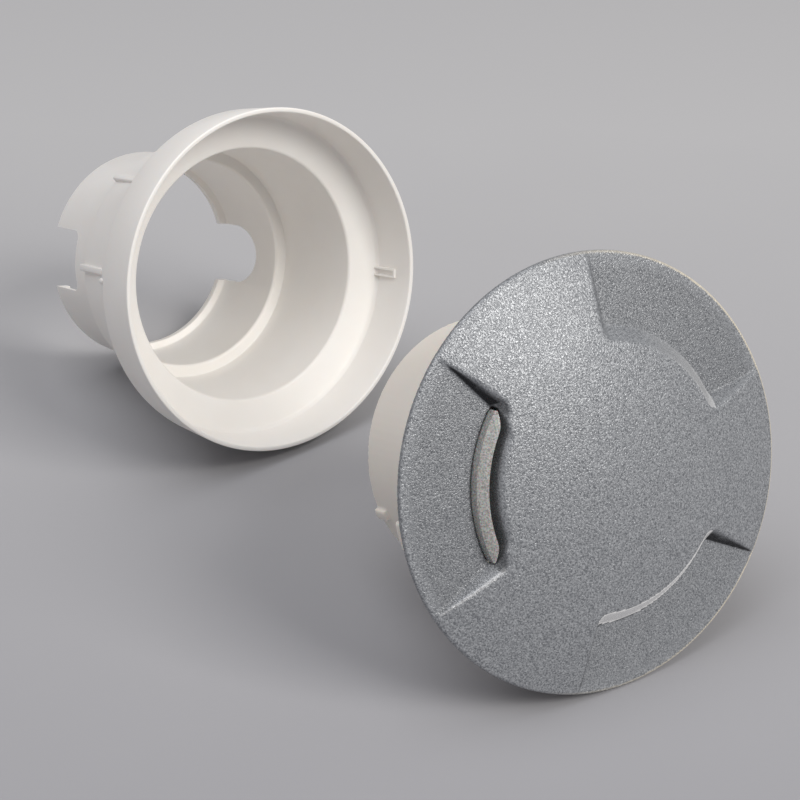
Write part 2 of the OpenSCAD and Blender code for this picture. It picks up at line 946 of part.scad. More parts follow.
installation_sleeve();
cover();
window_lens();
lens_gasket();
cover_gasket();
housing();
rim_seal();
cover_screws();
heat_spreader();
spreader_screws();
thermal_pad();
led_board();
board_screws();
leds();
led_reflector();
led_wires();
driver_board();
driver_transformer();
driver_capacitors();
terminal_block();
terminal_screws();
gland_body();
gland_washer();
gland_locknut();
gland_seal();
gland_nut();
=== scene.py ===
"""Looks of an in-ground spotlight that lies beside its installation sleeve.

Sizes are in millimetres until a mesh is made, and each of the two items has its own frame:
+Z is its axis, out through the cover or the mouth, and Z = 0 is the back of the cover's rim
or the mouth's edge. Turns are in degrees round that axis, from +X.
"""
import math

import bmesh
import bpy
from mathutils import Matrix, Vector


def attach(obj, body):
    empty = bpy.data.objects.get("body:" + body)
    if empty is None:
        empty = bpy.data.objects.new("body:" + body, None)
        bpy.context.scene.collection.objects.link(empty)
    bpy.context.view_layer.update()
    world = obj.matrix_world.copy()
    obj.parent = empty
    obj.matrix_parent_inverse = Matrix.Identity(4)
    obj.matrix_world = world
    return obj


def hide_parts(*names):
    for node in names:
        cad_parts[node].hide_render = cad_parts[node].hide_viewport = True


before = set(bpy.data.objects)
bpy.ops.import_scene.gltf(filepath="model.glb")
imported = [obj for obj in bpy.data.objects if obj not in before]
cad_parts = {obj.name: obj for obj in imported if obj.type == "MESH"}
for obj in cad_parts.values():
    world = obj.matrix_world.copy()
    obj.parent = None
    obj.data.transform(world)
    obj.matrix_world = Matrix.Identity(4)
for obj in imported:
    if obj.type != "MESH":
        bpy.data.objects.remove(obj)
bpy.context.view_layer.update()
bpy.ops.object.select_all(action="DESELECT")

MM = 0.001
MERGE = 1e-6  # metres: points that lie nearer to each other than this are one
ON_AXIS = 1e-7  # metres: points that lie nearer to the axis than this are on it
PAST = 1.0  # how far a cutting tool runs past the face that it cuts

# Cover
COVER_R = 60.0
RIM_H = 1.6
RIM_FRONT_ROUNDING = 0.55
RIM_BACK_ROUNDING = 0.35
DOME_RISE = 11.3
SHELL_T = 2.8
CAVITY_R = 42.5
DOME_R = (COVER_R ** 2 + DOME_RISE ** 2) / (2 * DOME_RISE)
DOME_Z = RIM_H + DOME_RISE - DOME_R
GROOVE_IN, GROOVE_OUT, GROOVE_DEPTH = 43.6, 45.6, 1.2
SCREW_R = 48.45
SCREW_D = 3.0
SCREW_DEPTH = 4.6
SCREW_OFFSET = 60  # from the middle of a recess to its next screw
CAST_VOXEL = 0.38
CAST_TRIANGLES = 180000

# Recesses
RECESS_TURNS = (47.3, 167.3, 287.3)
RECESS_HALF_SPAN = 30.2
SIDE_TURN = 47.0
SIDE_REACH = 34.0
FOOT_R = 40.2
FOOT_H = 3.8
WALL_LEAN = math.radians(36.9)
SIDE_LEAN = math.radians(36.0)
FLOOR_SLOPE = (FOOT_H - RIM_H) / (COVER_R - FOOT_R)
FLOOR_REACH = 76.0
FLOOR_BOTTOM = -12.0
# Height above the foot, and the rounding of the recess's two corners there
RECESS_CORNERS = ((-3.2, 0.9), (0.0, 1.4), (5.0, 4.6), (13.0, 7.0))
CORNER_STEPS = 8
ARC_STEPS = 12

# Window and lens
WINDOW_TURN = 167.3
WINDOW_SPAN = 62.0
WINDOW_IN = 35.0
WINDOW_OUT = 40.2
WINDOW_CUT = (4.0, 6.0)  # how far its inner corners are cut back, across and along
# Height, and how far the slot's inner edge has rolled back there
WINDOW_ROLL = ((-PAST, 0.0), (7.0, 0.0), (8.0, 0.25), (8.8, 0.8), (9.5, 1.7), (10.2, 2.8),
               (14.0, 2.8))
LENS_IN = 37.3
LENS_OUT = 40.0
LENS_RIDGE_H = 6.3
LENS_TOP_H = 8.0
LENS_SPAN = 60.0
LENS_CUT = (2.25, 5.0)
LENS_SEAT_H = 2.1
FLANGE_IN, FLANGE_OUT, FLANGE_T = 33.8, 42.8, 1.6
FLANGE_SPAN = 71.0
FLANGE_EDGE = 0.15
FLANGE_PLAY = 0.2
TIP_ROUNDING = 0.4  # of the outer corners of lens and slot
TIP_MIDDLE = 0.12

# Sleeve
SLEEVE_L = 82.6
BAND_R, BAND_L = 53.1, 17.1
TUBE_R = 35.05
NOTCH_TURN = -15.5
# Radius, height and rounding of each corner
SLEEVE_OUTSIDE = [
    (54.35, 0.0, 0.45), (BAND_R, -BAND_L, 0.7), (51.9, -18.0, 0.5),  # mouth band
    (42.6, -19.2, 1.2), (41.2, -38.5, 0.15),  # front half of the first tube
    (40.75, -38.9, 0.15), (40.0, -52.1, 0.8),  # its rear half, a fine step in
    (35.9, -54.0, 0.8), (TUBE_R, -SLEEVE_L, 0.4)]  # second tube
SLEEVE_INSIDE = [
    (31.25, -SLEEVE_L, 0.3), (31.25, -80.2, 0.3), (33.55, -79.6, 0.5),  # lip at the rear
    (34.4, -52.3, 0.3), (35.0, -51.7, 0.4), (38.5, -51.7, 0.4),  # second shoulder
    (40.6, -17.7, 0.8), (50.3, -15.7, 0.5),  # first shoulder
    (51.3, -14.7, 0.4), (52.85, 0.0, 0.45)]  # mouth band

# Where the two items lie: each rests on the edges of its front and of its rear
HOUSING_REAR_R, HOUSING_L = 38.05, 56.9
LIGHT_TILT = math.atan((COVER_R - HOUSING_REAR_R) / HOUSING_L)
LIGHT_TURN = 31.2
SLEEVE_TILT = math.atan((BAND_R - TUBE_R) / (SLEEVE_L - BAND_L))
SLEEVE_TURN = 39.4


def lying(x, y, z, tilt, turn):
    """The frame of an item that lies on the floor, its axis raised by tilt and turned from -Y."""
    return (Matrix.Translation((x * MM, y * MM, z * MM))
            @ Matrix.Rotation(math.radians(turn), 4, "Z")
            @ Matrix.Rotation(math.pi / 2 - tilt, 4, "X"))


HERE = Matrix.Identity(4)
LIGHT = lying(57.1, -78.3, COVER_R * math.cos(LIGHT_TILT), LIGHT_TILT, LIGHT_TURN)
SLEEVE = lying(-32.9, 30.8, BAND_R * math.cos(SLEEVE_TILT) + BAND_L * math.sin(SLEEVE_TILT),
               SLEEVE_TILT, SLEEVE_TURN)


# ---- Modelling helpers

def ramp(value, zero_at, one_at):
    """Goes evenly from 0 to 1 between two values, and stays there beyond them."""
    return min(1.0, max(0.0, (value - zero_at) / (one_at - zero_at)))


def within(value, zone):
    """Whether a value lies in a zone of (low, high)."""
    return zone[0] < value < zone[1]


def lone(piece):
    """Selects only this piece."""
    bpy.ops.object.select_all(action="DESELECT")
    piece.select_set(True)
    bpy.context.view_layer.objects.active = piece


def fix(piece, turn=0.0):
    """Turns a piece round the axis, and makes its place and turn part of its mesh."""
    lone(piece)
    piece.rotation_euler.z = math.radians(turn)
    bpy.ops.object.transform_apply(location=True, rotation=True, scale=True)


def modify(piece, name, kind, **settings):
    """Gives a piece a modifier with its settings and applies it."""
    lone(piece)
    step = piece.modifiers.new(name, kind)
    for key, value in settings.items():
        setattr(step, key, value)
    bpy.ops.object.modifier_apply(modifier=step.name)


def combine(piece, tool, operation="DIFFERENCE"):
    """Cuts the tool from the piece, or adds it with UNION."""
    modify(piece, operation.lower(), "BOOLEAN", operation=operation, object=tool,
           solver="MANIFOLD")
    bpy.data.objects.remove(tool)


def pick(piece, kind, wanted):
    """In edit mode, selects the points or edges that are wanted."""
    bpy.ops.mesh.select_all(action="DESELECT")
    bpy.ops.mesh.select_mode(type=kind)
    mesh = bmesh.from_edit_mesh(piece.data)
    for element in {"VERT": mesh.verts, "EDGE": mesh.edges}[kind]:
        if wanted(element):
            element.select_set(True)
    bmesh.update_edit_mesh(piece.data)


def close_up(piece):
    """Merges doubled points, fills open ends and turns all faces outwards."""
    bpy.ops.mesh.select_mode(type="VERT")
    bpy.ops.mesh.select_all(action="SELECT")
    bpy.ops.mesh.remove_doubles(threshold=MERGE)
    bpy.ops.mesh.select_all(action="SELECT")
    bpy.ops.mesh.fill_holes(sides=0)
    bpy.ops.mesh.select_all(action="SELECT")
    bpy.ops.mesh.normals_make_consistent(inside=False)
    bpy.ops.object.mode_set(mode="OBJECT")
    return piece


def turned(name, corners, steps, sweep=360.0, middle=0.0, to_axis=False, segments=4):
    """Spins an outline of (radius, height, rounding) corners round the axis."""
    bpy.ops.object.select_all(action="DESELECT")
    bpy.ops.mesh.primitive_circle_add(vertices=len(corners), radius=MM)
    piece = bpy.context.object
    piece.name = name
    for point, corner in zip(piece.data.vertices, corners):
        point.co = (corner[0] * MM, 0, corner[1] * MM)
    bpy.ops.object.mode_set(mode="EDIT")
    if to_axis:
        pick(piece, "EDGE", lambda edge: all(abs(v.co.x) < ON_AXIS for v in edge.verts))
        bpy.ops.mesh.delete(type="EDGE")
    rounded = [corner for corner in corners if len(corner) > 2 and corner[2]]
    for rounding in sorted({corner[2] for corner in rounded}):
        marks = [Vector((c[0] * MM, 0, c[1] * MM)) for c in rounded if c[2] == rounding]
        pick(piece, "VERT", lambda v: any((v.co - mark).length < MERGE for mark in marks))
        bpy.ops.mesh.bevel(offset=rounding * MM, segments=segments, affect="VERTICES")
    bpy.ops.mesh.select_all(action="SELECT")
    bpy.ops.mesh.spin(steps=steps, angle=-math.radians(sweep), center=(0, 0, 0), axis=(0, 0, 1))
    close_up(piece)
    fix(piece, middle - sweep / 2 if sweep < 360 else 0)
    return piece


def lofted(name, outlines):
    """One solid through outlines of (height, points), each with as many points."""
    bpy.ops.object.select_all(action="DESELECT")
    bpy.ops.mesh.primitive_circle_add(vertices=len(outlines[0][1]), radius=MM, fill_type="NGON")
    piece = bpy.context.object
    piece.name = name
    height, before = outlines[0]
    for vertex, point in zip(piece.data.vertices, before):
        vertex.co = (point[0] * MM, point[1] * MM, height * MM)
    bpy.ops.object.mode_set(mode="EDIT")
    bpy.ops.mesh.select_all(action="SELECT")
    for height, points in outlines[1:]:
        bpy.ops.mesh.extrude_region_move(TRANSFORM_OT_translate={"value": (0, 0, MM)})
        mesh = bmesh.from_edit_mesh(piece.data)
        for vertex in [v for v in mesh.verts if v.select]:
            here = vertex.co.xy / MM
            index = min(range(len(before)), key=lambda i: (here - Vector(before[i])).length)
            vertex.co = (points[index][0] * MM, points[index][1] * MM, height * MM)
        bmesh.update_edit_mesh(piece.data)
        before = points
    return close_up(piece)


def block(name, low, high, edge=0.0, wanted=None, segments=3, turn=0.0):
    """A block between two corners, its wanted edges rounded, turned round the axis."""
    low, high = Vector(low) * MM, Vector(high) * MM
    bpy.ops.object.select_all(action="DESELECT")
    bpy.ops.mesh.primitive_cube_add(size=1, location=(low + high) / 2, scale=high - low)
    piece = bpy.context.object
    piece.name = name
    fix(piece)
    if edge:
        bpy.ops.object.mode_set(mode="EDIT")
        pick(piece, "EDGE", wanted or (lambda e: True))
        bpy.ops.mesh.bevel(offset=edge * MM, segments=segments)
        bpy.ops.object.mode_set(mode="OBJECT")
    fix(piece, turn)
    return piece


def rod(name, radius, low, high, r, turn):
    """A plain round tool along the axis, at a radius and a turn, used only to cut with."""
    bpy.ops.object.select_all(action="DESELECT")
    bpy.ops.mesh.primitive_cylinder_add(vertices=48, radius=radius * MM, depth=(high - low) * MM,
                                        location=(r * MM, 0, (low + high) / 2 * MM))
    piece = bpy.context.object
    piece.name = name
    fix(piece)
    fix(piece, turn)
    return piece


def copy_turned(piece, turn):
    """A copy with its own mesh, turned round the axis."""
    lone(piece)
    bpy.ops.object.duplicate(linked=False)
    twin = bpy.context.object
    fix(twin, turn)
    return twin


def soften(piece, name, passes, weight):
    """Smooths the skin where weight says so, which takes a point's height and radius."""
    group = piece.vertex_groups.new(name=name)
    for vertex in piece.data.vertices:
        x, y, z = vertex.co / MM
        share = weight(z, math.hypot(x, y))
        if share > 0:
            group.add([vertex.index], share, "REPLACE")
    modify(piece, name, "SMOOTH", factor=0.5, iterations=passes, vertex_group=name)
    piece.vertex_groups.remove(piece.vertex_groups[name])


def settle(piece, place, body, nodes, material, angle=32.0):
    """Lays a finished piece in its place, on its body, with its finish."""
    lone(piece)
    piece.matrix_world = place
    bpy.ops.object.transform_apply(location=True, rotation=True, scale=True)
    bpy.ops.object.shade_smooth_by_angle(angle=math.radians(angle))
    piece.data.materials.clear()
    piece.data.materials.append(material)
    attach(piece, body)
    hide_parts(*nodes)


# ---- Finishes

# Sockets of Mix and of Map Range, by number because Mix has several of the same name
SHARE, FLOAT_A, FLOAT_B, TONE_A, TONE_B = 0, 2, 3, 6, 7
TONE_OUT = 2
VALUE, FROM_LOW, FROM_HIGH, TO_LOW, TO_HIGH = 0, 1, 2, 3, 4


def add(tree, kind, inputs=None, **settings):
    """Adds a node with its settings and fills its sockets with values or links."""
    node = tree.nodes.new(kind)
    for name, value in settings.items():
        setattr(node, name, value)
    for socket, value in (inputs or {}).items():
        if isinstance(value, bpy.types.NodeSocket):
            tree.links.new(value, node.inputs[socket])
        else:
            node.inputs[socket].default_value = value
    return node


def tone(code):
    """An sRGB colour such as A0B0C0 as linear red, green, blue and alpha."""
    parts = [int(code[i:i + 2], 16) / 255 for i in (0, 2, 4)]
    return tuple(p / 12.92 if p <= 0.04045 else ((p + 0.055) / 1.055) ** 2.4
                 for p in parts) + (1.0,)


def per_metre(size_mm):
    """How many grains of this size lie on a metre, which is a pattern's scale."""
    return 1000.0 / size_mm


def start(name, **shader):
    """An empty finish: the material, its tree, its shader and its place on the piece."""
    material = bpy.data.materials.new(name)
    material.use_nodes = True
    tree = material.node_tree
    tree.nodes.clear()
    surface = add(tree, "ShaderNodeBsdfPrincipled",
                  {key.replace("_", " "): value for key, value in shader.items()})
    add(tree, "ShaderNodeOutputMaterial", {"Surface": surface.outputs[0]})
    place = add(tree, "ShaderNodeTexCoord").outputs["Object"]
    return material, tree, surface, place


def join(tree, surface, colour, gloss, relief):
    """Links a finish's colour, gloss and relief to its shader."""
    tree.links.new(colour.outputs[TONE_OUT], surface.inputs["Base Color"])
    tree.links.new(gloss.outputs[0], surface.inputs["Roughness"])
    tree.links.new(relief.outputs[0], surface.inputs["Normal"])


def moulded(name, light, dark, roughness, grain_mm=0.35, depth_mm=0.01, patch_mm=22.0, **shader):
    """Moulded plastic or rubber: broad soft patches from the melt's flow, which change its tone
    and gloss a little, and the mould's fine grain."""
    material, tree, surface, place = start(name, **shader)
    spread = 0.07
    flow = add(tree, "ShaderNodeTexNoise", {"Vector": place, "Scale": per_metre(patch_mm),
                                            "Detail": 3.0, "Roughness": 0.55})
    colour = add(tree, "ShaderNodeMix", {SHARE: flow.outputs[0], TONE_A: tone(dark),
                                         TONE_B: tone(light)}, data_type="RGBA")
    grain = add(tree, "ShaderNodeTexNoise", {"Vector": place, "Scale": per_metre(grain_mm),
                                             "Detail": 2.0})
    gloss = add(tree, "ShaderNodeMapRange", {VALUE: flow.outputs[0], FROM_LOW: 0.3, FROM_HIGH: 0.7,
                                             TO_LOW: roughness - spread,
                                             TO_HIGH: roughness + spread})
    relief = add(tree, "ShaderNodeBump", {"Height": grain.outputs[0], "Strength": 0.5,
                                          "Distance": depth_mm * MM})
    join(tree, surface, colour, gloss, relief)
    return material


def brushed(name, light, dark, roughness):
    """Drawn, turned or milled metal: a satin of tool marks across the light's axis, 0.25 mm long
    and 25 times as narrow, that softens its highlights. They are too fine to show one by one."""
    material, tree, surface, place = start(name, Metallic=1.0)
    along_axis = (math.pi / 2 - LIGHT_TILT, 0.0, math.radians(LIGHT_TURN))
    aligned = add(tree, "ShaderNodeMapping", {"Vector": place, "Rotation": along_axis,
                                              "Scale": (1.0, 1.0, 0.04)}, vector_type="TEXTURE")
    line = add(tree, "ShaderNodeTexNoise", {"Vector": aligned.outputs[0], "Scale": per_metre(0.25),
                                            "Detail": 3.0})
    colour = add(tree, "ShaderNodeMix", {SHARE: line.outputs[0], TONE_A: tone(dark),
                                         TONE_B: tone(light)}, data_type="RGBA")
    gloss = add(tree, "ShaderNodeMapRange", {VALUE: line.outputs[0], FROM_LOW: 0.3, FROM_HIGH: 0.7,
                                             TO_LOW: roughness - 0.06, TO_HIGH: roughness + 0.08})
    relief = add(tree, "ShaderNodeBump", {"Height": line.outputs[0], "Strength": 0.3,
                                          "Distance": 0.01 * MM})
    join(tree, surface, colour, gloss, relief)
    return material


def hammered_lacquer():
    """Silver-grey hammer lacquer on die-cast aluminium: the lacquer dries into fine wrinkles
    about 1 mm apart, their valleys painted darker as shade, a little finer on the recess floors.
    It is smooth, with a lighter tone that paints a highlight, on the lower right recess's closed
    wall, partly so on the upper right one's and along the left recess's lower arm crest. Painted
    shade darkens the faces that look down, the window's slot, that arm's foot and, lightly, the
    recess floors, and a warm painted highlight lies on one side of the rim's turned edge. The
    cover's own attributes say where."""
    material, tree, surface, place = start("hammered_grey_lacquer")
    grain = add(tree, "ShaderNodeAttribute", attribute_name="grain").outputs["Fac"]
    depth = add(tree, "ShaderNodeAttribute", attribute_name="relief").outputs["Fac"]
    painted_rim_highlight = add(tree, "ShaderNodeAttribute", attribute_name="painted_rim_highlight").outputs["Fac"]
    painted_shade = add(tree, "ShaderNodeAttribute", attribute_name="painted_shade").outputs["Fac"]
    coarse = add(tree, "ShaderNodeTexNoise", {"Vector": place, "Scale": per_metre(0.47),
                                              "Detail": 1.0, "Roughness": 0.4, "Distortion": 0.6})
    fine = add(tree, "ShaderNodeTexNoise", {"Vector": place, "Scale": per_metre(0.41),
                                            "Detail": 1.0, "Roughness": 0.4, "Distortion": 0.6})
    both = add(tree, "ShaderNodeMix", {SHARE: grain, FLOAT_A: fine.outputs[0],
                                       FLOAT_B: coarse.outputs[0]}, data_type="FLOAT")
    height = add(tree, "ShaderNodeMapRange", {VALUE: both.outputs[0], FROM_LOW: 0.3,
                                              FROM_HIGH: 0.7})
    # The wrinkles' low points are painted darker: painted shade in their valleys, on top of the
    # bump's own shading
    wrinkles_with_painted_shade = add(tree, "ShaderNodeMix", {SHARE: height.outputs[0], TONE_A: tone("696C71"),
                                           TONE_B: tone("ABAEB2")}, data_type="RGBA")
    # Where relief is below 1 the tone goes towards near-white: a painted highlight on the smooth
    # closed walls and along the arm's crest
    with_painted_highlight = add(tree, "ShaderNodeMix", {SHARE: depth, TONE_A: tone("F8F8F8"),
                                            TONE_B: wrinkles_with_painted_shade.outputs[TONE_OUT]}, data_type="RGBA")
    # Near-black painted shade, laid on where the cover's shade attribute says
    with_painted_shade = add(tree, "ShaderNodeMix", {SHARE: painted_shade, TONE_A: with_painted_highlight.outputs[TONE_OUT],
                                          TONE_B: tone("15161A")}, data_type="RGBA")
    # Warm cream painted highlight on the rim's rounded front edge
    colour = add(tree, "ShaderNodeMix", {SHARE: painted_rim_highlight, TONE_A: with_painted_shade.outputs[TONE_OUT],
                                         TONE_B: tone("E2D9C6")}, data_type="RGBA")
    lustre = add(tree, "ShaderNodeMapRange", {VALUE: depth, FROM_LOW: 0.1, FROM_HIGH: 0.6,
                                              TO_LOW: 0.1, TO_HIGH: 0.2})
    tree.links.new(lustre.outputs[0], surface.inputs["Metallic"])
    flake = add(tree, "ShaderNodeTexNoise", {"Vector": place, "Scale": per_metre(0.35),
                                             "Detail": 1.0})
    gloss = add(tree, "ShaderNodeMapRange", {VALUE: flake.outputs[0], FROM_LOW: 0.3,
                                             FROM_HIGH: 0.7, TO_LOW: 0.33, TO_HIGH: 0.23})
    relief = add(tree, "ShaderNodeBump", {"Height": height.outputs[0], "Strength": depth,
                                          "Distance": 0.085 * MM})
    join(tree, surface, colour, gloss, relief)
    return material


def frosted_plastic():
    """Frosted acrylic: light that enters is scattered, so it looks milky grey over the dark
    space behind it, with a few bright sparkles from the blasted surface."""
    material, tree, surface, place = start("frosted_acrylic", IOR=1.49, Transmission_Weight=0.25,
                                           Subsurface_Weight=0.35, Subsurface_Scale=0.0015)
    frost = add(tree, "ShaderNodeTexNoise", {"Vector": place, "Scale": per_metre(0.5),
                                             "Detail": 3.0})
    cloud = add(tree, "ShaderNodeMapRange", {VALUE: frost.outputs[0], FROM_LOW: 0.36,
                                             FROM_HIGH: 0.64})
    colour = add(tree, "ShaderNodeMix", {SHARE: cloud.outputs[0], TONE_A: tone("969695"),
                                         TONE_B: tone("D0D0CD")}, data_type="RGBA")
    gloss = add(tree, "ShaderNodeMapRange", {VALUE: frost.outputs[0], FROM_LOW: 0.4,
                                             FROM_HIGH: 0.75, TO_LOW: 0.55, TO_HIGH: 0.15})
    relief = add(tree, "ShaderNodeBump", {"Height": frost.outputs[0], "Strength": 0.6,
                                          "Distance": 0.09 * MM})
    join(tree, surface, colour, gloss, relief)
    return material


def circuit_board(name, mask, track, pitch_mm):
    """Glass-fibre board under solder mask: the tracks show as slightly raised, lighter paths."""
    material, tree, surface, place = start(name, IOR=1.5, Coat_Weight=0.3, Coat_Roughness=0.2)
    cells = add(tree, "ShaderNodeTexVoronoi", {"Vector": place, "Scale": per_metre(pitch_mm)},
                distance="CHEBYCHEV", feature="DISTANCE_TO_EDGE")
    path = add(tree, "ShaderNodeMapRange", {VALUE: cells.outputs["Distance"], FROM_LOW: 0.08,
                                            FROM_HIGH: 0.12})
    colour = add(tree, "ShaderNodeMix", {SHARE: path.outputs[0], TONE_A: tone(track),
                                         TONE_B: tone(mask)}, data_type="RGBA")
    weave = add(tree, "ShaderNodeTexNoise", {"Vector": place, "Scale": per_metre(0.4)})
    gloss = add(tree, "ShaderNodeMapRange", {VALUE: weave.outputs[0], TO_LOW: 0.3, TO_HIGH: 0.42})
    relief = add(tree, "ShaderNodeBump", {"Height": path.outputs[0], "Strength": 0.4,
                                          "Distance": 0.035 * MM}, invert=True)
    join(tree, surface, colour, gloss, relief)
    return material


def floor_paper():
    """Matt grey studio paper, with painted shade that darkens it a little towards the front, and
    the faint mottling of its fibres. The mottling is 180 mm across, coarser than real paper's, to
    stay out of sight."""
    material, tree, surface, place = start("grey_studio_paper", Specular_IOR_Level=0.2)
    fibre = add(tree, "ShaderNodeTexNoise", {"Vector": place, "Scale": per_metre(90.0),
                                             "Detail": 2.0})
    # Painted shade: the tone darkens towards the front, to -Y
    depth = add(tree, "ShaderNodeSeparateXYZ", {0: place}).outputs["Y"]
    painted_front_shade = add(tree, "ShaderNodeMapRange", {VALUE: depth, FROM_LOW: -0.2, FROM_HIGH: 0.3})
    mottled = add(tree, "ShaderNodeMath", {0: fibre.outputs[0], 1: 0.1, 2: painted_front_shade.outputs[0]},
                  operation="MULTIPLY_ADD")
    colour = add(tree, "ShaderNodeMix", {SHARE: mottled.outputs[0], TONE_A: tone("98989D"),
                                         TONE_B: tone("B8B8BA")}, data_type="RGBA")
    tree.links.new(colour.outputs[TONE_OUT], surface.inputs["Base Color"])
    gloss = add(tree, "ShaderNodeMapRange", {VALUE: fibre.outputs[0], TO_LOW: 0.75, TO_HIGH: 0.85})
    tree.links.new(gloss.outputs[0], surface.inputs["Roughness"])
    return material


lacquer = hammered_lacquer()
frosted = frosted_plastic()
# Injection-moulded polypropylene: off-white, waxy, light sinks in a little and warms the shade
sleeve_plastic = moulded("moulded_polypropylene", "F6F4F1", "F0ECE7", 0.42, IOR=1.49,
                         Subsurface_Weight=0.15, Subsurface_Radius=(1.0, 0.8, 0.65),
                         Subsurface_Scale=0.003)
# Injection-moulded polycarbonate: warm white, a little glossier and denser than the sleeve
housing_plastic = moulded("moulded_polycarbonate", "F0EAE2", "E9E2D8", 0.38, IOR=1.58,
                          Subsurface_Weight=0.12, Subsurface_Scale=0.002)
# Moulded EPDM rubber: near-black, matt, with a bloom that greys it in patches
black_rubber = moulded("moulded_epdm_rubber", "2E2E30", "1E1E20", 0.72, grain_mm=0.6,
                       depth_mm=0.02, patch_mm=6.0, IOR=1.52)
# Extruded silicone cord: cream, soft sheen
cream_silicone = moulded("cream_silicone", "E2DAC4", "D6CDB4", 0.5, grain_mm=0.5, patch_mm=5.0,
                         IOR=1.41, Subsurface_Weight=0.3, Subsurface_Scale=0.001)
# Moulded silicone gasket: white, soft sheen
white_silicone = moulded("white_silicone", "E6E4DE", "DAD7CF", 0.5, grain_mm=0.5, patch_mm=5.0,
                         IOR=1.41)
# Moulded nylon: black with fine spark-eroded grain
black_nylon = moulded("moulded_black_nylon", "222325", "17181A", 0.46, grain_mm=0.3,
                      depth_mm=0.02, patch_mm=8.0, IOR=1.53)
# Moulded ABS reflector: bright white, half matt so that it scatters light forward
reflector_white = moulded("moulded_white_reflector", "F2F2EF", "EAEAE6", 0.35, grain_mm=0.3,
                          depth_mm=0.005, patch_mm=8.0, IOR=1.54)
# Filled silicone pad: grey-blue, putty-like
pad_silicone = moulded("filled_silicone_pad", "7C8B99", "6C7A88", 0.8, grain_mm=0.4,
                       depth_mm=0.03, patch_mm=3.0)
# Extruded PVC insulation: red, slightly glossy
wire_red = moulded("red_pvc_insulation", "A82420", "961C19", 0.35, grain_mm=0.3,
                   depth_mm=0.005, patch_mm=4.0, IOR=1.54)
# Moulded polyamide terminal: green, half matt
terminal_green = moulded("moulded_green_polyamide", "2F7A45", "286B3C", 0.45, grain_mm=0.3,
                         patch_mm=6.0, IOR=1.53)
# Transformer: yellow polyester tape in tight turns over ferrite, glossy with small wrinkles
tape_yellow = moulded("polyester_tape", "D2AE3C", "B08F2C", 0.3, grain_mm=1.2, depth_mm=0.05,
                      patch_mm=2.5, IOR=1.58)
# Shrink sleeve on the capacitors: dark blue, glossy
shrink_sleeve = moulded("dark_shrink_sleeve", "23273A", "191C2B", 0.3, grain_mm=0.5,
                        patch_mm=3.0, IOR=1.54)
# Phosphor under silicone: warm yellow, grainy from its powder
phosphor = moulded("led_phosphor", "E8C452", "D9AE38", 0.4, grain_mm=0.2, patch_mm=0.8, IOR=1.45)
# Milled aluminium plate: light grey, satin
milled_aluminium = brushed("milled_aluminium", "C9CACC", "A9ABAE", 0.3)
# Drawn stainless steel screws: a darker, warmer grey, a little glossier
stainless = brushed("drawn_stainless_steel", "BDBBB7", "9C9A96", 0.26)
# Plated brass screws: pale yellow
plated_brass = brushed("plated_brass", "CFC08A", "B5A56C", 0.28)
led_mask = circuit_board("white_solder_mask", "E9E9E4", "D9D9D0", 2.4)
driver_mask = circuit_board("green_solder_mask", "1E6B36", "2F8548", 2.0)


# ---- Cover: a cast dome with three recesses and one window

def dome_height(r, inset=0.0):
    """Height of the dome, or of its inner face, at a radius."""
    return DOME_Z + math.sqrt((DOME_R - inset) ** 2 - r ** 2)


def drop_below_dome(z, r):
    """How far a point of the cover lies below the dome's face."""
    return dome_height(min(r, COVER_R)) - z


def outwards(angle):
    """The direction away from the axis at an angle in radians."""
    return Vector((math.cos(angle), math.sin(angle)))


def recess_outline(height, rounding):
    """Outline of a recess at a height above its foot, its middle on +X: the closed wall's arc,
    two rounded corners and two side walls that run out past the rim."""
    inner = FOOT_R - height * math.tan(WALL_LEAN)
    foot = outwards(math.radians(RECESS_HALF_SPAN)) * FOOT_R
    along = outwards(math.radians(SIDE_TURN))
    away = Vector((-along.y, along.x))
    base = foot + away * (height * math.tan(SIDE_LEAN) - rounding)
    reach = inner + rounding
    forward = -base.dot(along) + math.sqrt(base.dot(along) ** 2 - base.length_squared + reach ** 2)
    centre = base + along * forward
    first = math.atan2(-centre.y, -centre.x)
    last = math.atan2(away.y, away.x)
    step = ((last - first) % (2 * math.pi) - 2 * math.pi) / CORNER_STEPS
    corner = [centre + outwards(first + step * i) * rounding for i in range(CORNER_STEPS + 1)]
    span = math.atan2(corner[0].y, corner[0].x)
    arc = [outwards(span * t / ARC_STEPS) * inner for t in range(1 - ARC_STEPS, ARC_STEPS)]
    side = corner + [corner[-1] + along * SIDE_REACH]
    mirrored = [Vector((p.x, -p.y)) for p in reversed(side)]
    return [tuple(p) for p in arc + side + mirrored]


def bent_plan(inner, outer, span, across, along):
    """Plan of a bar that is bent round the axis, its middle on +X. Its inner corners are cut back
    in a curve, by across on its width and by along on its length, so that its ends are pointed
    and the points lie outwards."""
    half = math.radians(span / 2)
    end = [(outer, half - TIP_ROUNDING / outer), (outer - TIP_MIDDLE, half - TIP_MIDDLE / outer),
           (outer - TIP_ROUNDING, half)]
    cut_steps = 12
    for t in range(cut_steps + 1):
        share = 1 - t / cut_steps
        end.append((inner + across * share ** 2, half - along / inner * (1 - share)))
    steps = 20
    polar = ([(outer, end[0][1] * t / steps) for t in range(1 - steps, steps)] + end
             + [(inner, end[-1][1] * t / steps) for t in range(steps - 1, -steps, -1)]
             + [(r, -angle) for r, angle in reversed(end)])
    return [(r * math.cos(angle), r * math.sin(angle)) for r, angle in polar]


